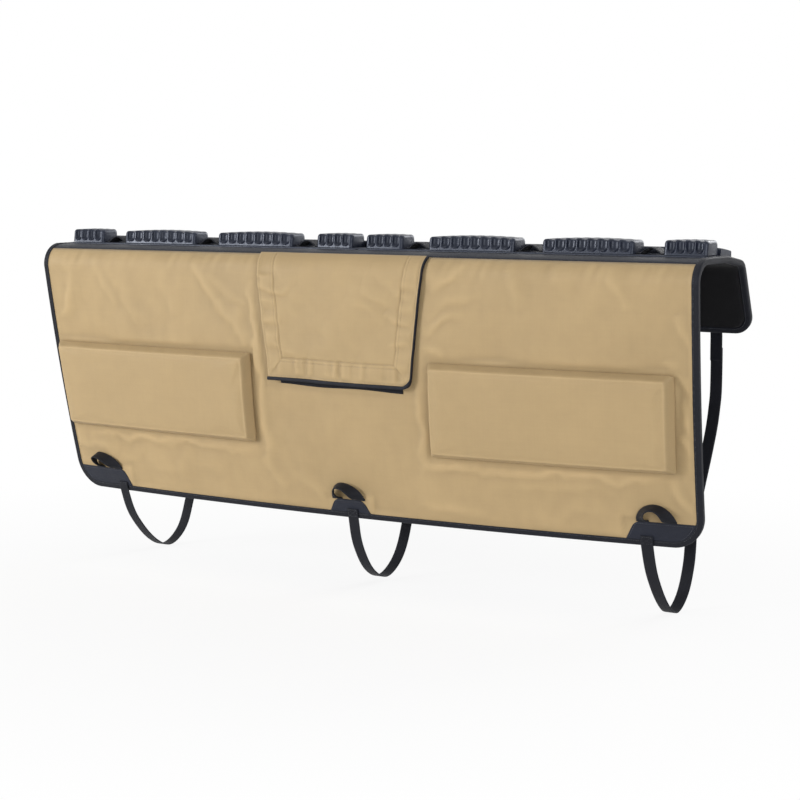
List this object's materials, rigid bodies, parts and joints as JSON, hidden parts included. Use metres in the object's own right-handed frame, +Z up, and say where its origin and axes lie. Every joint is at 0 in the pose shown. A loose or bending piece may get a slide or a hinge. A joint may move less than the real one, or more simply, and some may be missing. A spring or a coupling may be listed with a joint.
{
  "type": "tailgate bike pad",
  "caption": "Padded fabric cover that hangs over a pickup tailgate, with moulded blocks that part bicycles, raised foam pads, pull loops and straps.",
  "frame": {"origin": "on the lining's underside, in the middle of the flat run that lies on the tailgate's top edge", "axes": "+X along the tailgate to the right as seen from outside, +Y into the truck bed, +Z up"},
  "size_m": [1.563, 0.3313, 0.7164],
  "materials": {
    "front_panel": "sand coloured coated fabric, satin",
    "top_panel": "dark coated fabric, satin",
    "back_flap": "dark coated fabric, satin",
    "lining": "soft dark fleece, matt",
    "edge_binding": "dark woven tape",
    "access_flap": "sand coloured coated fabric, satin",
    "flap_binding": "dark woven tape",
    "flap_closure_strip": "dark touch fastener strip, matt",
    "raised_pad_left": "sand coloured coated fabric over foam, satin",
    "raised_pad_right": "sand coloured coated fabric over foam, satin",
    "corner_patch_left": "dark coated fabric, satin",
    "middle_patch": "dark coated fabric, satin",
    "corner_patch_right": "dark coated fabric, satin",
    "block_rail_left": "moulded, satin",
    "block_rail_right": "moulded, satin",
    "pull_loop_left": "dark woven webbing",
    "tailgate_strap_left": "dark woven webbing",
    "strap_tab_left": "dark woven webbing",
    "pull_loop_middle": "dark woven webbing",
    "tailgate_strap_middle": "dark woven webbing",
    "strap_tab_middle": "dark woven webbing",
    "pull_loop_right": "dark woven webbing",
    "tailgate_strap_right": "dark woven webbing",
    "strap_tab_right": "dark woven webbing",
    "block_1": "moulded, satin",
    "block_2": "moulded, satin",
    "block_3": "moulded, satin",
    "block_4": "moulded, satin",
    "block_5": "moulded, satin",
    "block_6": "moulded, satin",
    "block_7": "moulded, satin",
    "block_8": "moulded, satin",
    "frame_strap_1": "dark woven webbing",
    "frame_strap_2": "dark woven webbing",
    "frame_strap_3": "dark woven webbing",
    "frame_strap_4": "dark woven webbing",
    "frame_strap_5": "dark woven webbing",
    "frame_strap_6": "dark woven webbing"
  },
  "bodies": {
    "root": {"front_panel": "front_panel", "top_panel": "top_panel", "back_flap": "back_flap", "lining": "lining", "edge_binding": "edge_binding", "access_flap": "access_flap", "flap_binding": "flap_binding", "flap_closure_strip": "flap_closure_strip", "raised_pad_left": "raised_pad_left", "raised_pad_right": "raised_pad_right", "corner_patch_left": "corner_patch_left", "middle_patch": "middle_patch", "corner_patch_right": "corner_patch_right", "block_rail_left": "block_rail_left", "block_rail_right": "block_rail_right", "pull_loop_left": "pull_loop_left", "tailgate_strap_left": "tailgate_strap_left", "strap_tab_left": "strap_tab_left", "pull_loop_middle": "pull_loop_middle", "tailgate_strap_middle": "tailgate_strap_middle", "strap_tab_middle": "strap_tab_middle", "pull_loop_right": "pull_loop_right", "tailgate_strap_right": "tailgate_strap_right", "strap_tab_right": "strap_tab_right", "block_1": "block_1", "block_2": "block_2", "block_3": "block_3", "block_4": "block_4", "block_5": "block_5", "block_6": "block_6", "block_7": "block_7", "block_8": "block_8", "frame_strap_1": "frame_strap_1", "frame_strap_2": "frame_strap_2", "frame_strap_3": "frame_strap_3", "frame_strap_4": "frame_strap_4", "frame_strap_5": "frame_strap_5", "frame_strap_6": "frame_strap_6"}
  },
  "joints": []
}
